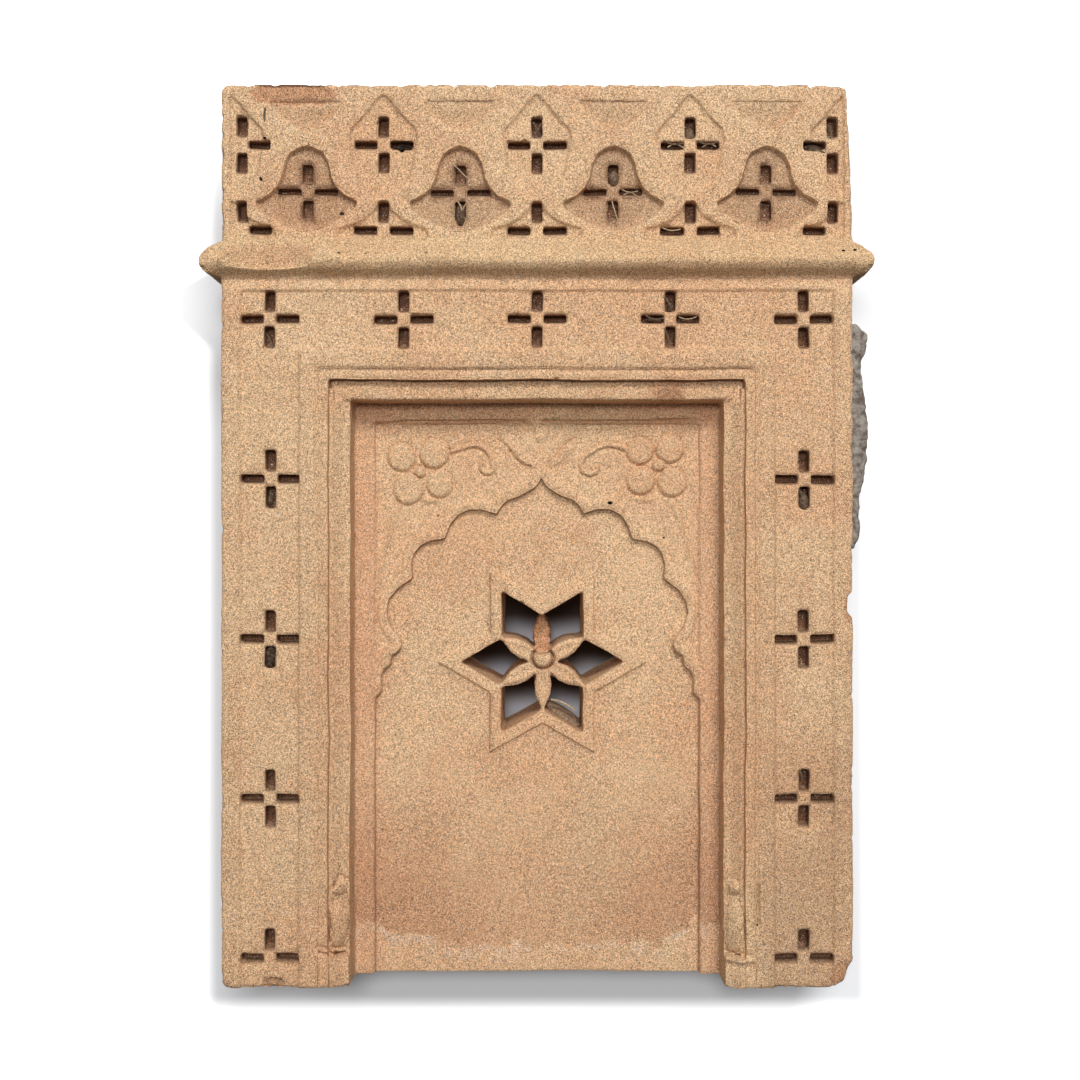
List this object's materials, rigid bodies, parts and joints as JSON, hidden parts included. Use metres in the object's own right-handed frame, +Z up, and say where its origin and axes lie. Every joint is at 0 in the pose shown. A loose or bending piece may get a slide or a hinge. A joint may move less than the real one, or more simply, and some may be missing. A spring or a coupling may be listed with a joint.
{
  "type": "stone relief panel",
  "caption": "Carved sandstone niche panel: slotted frame, cornice and bell frieze around a deep niche with a cusped arch and a pierced star window",
  "frame": {"origin": "on the ground, at the middle of the panel's overall width and depth", "axes": "+Z up, the carved front faces -Y, +X to the viewer's right"},
  "size_m": [0.593, 0.157, 0.8],
  "materials": {
    "sandstone": "weathered, matt and gritty",
    "old_mortar": "rough lime and mud mortar"
  },
  "bodies": {
    "root": {"stone_panel": "sandstone", "mortar_remnant": "old_mortar"}
  },
  "joints": []
}
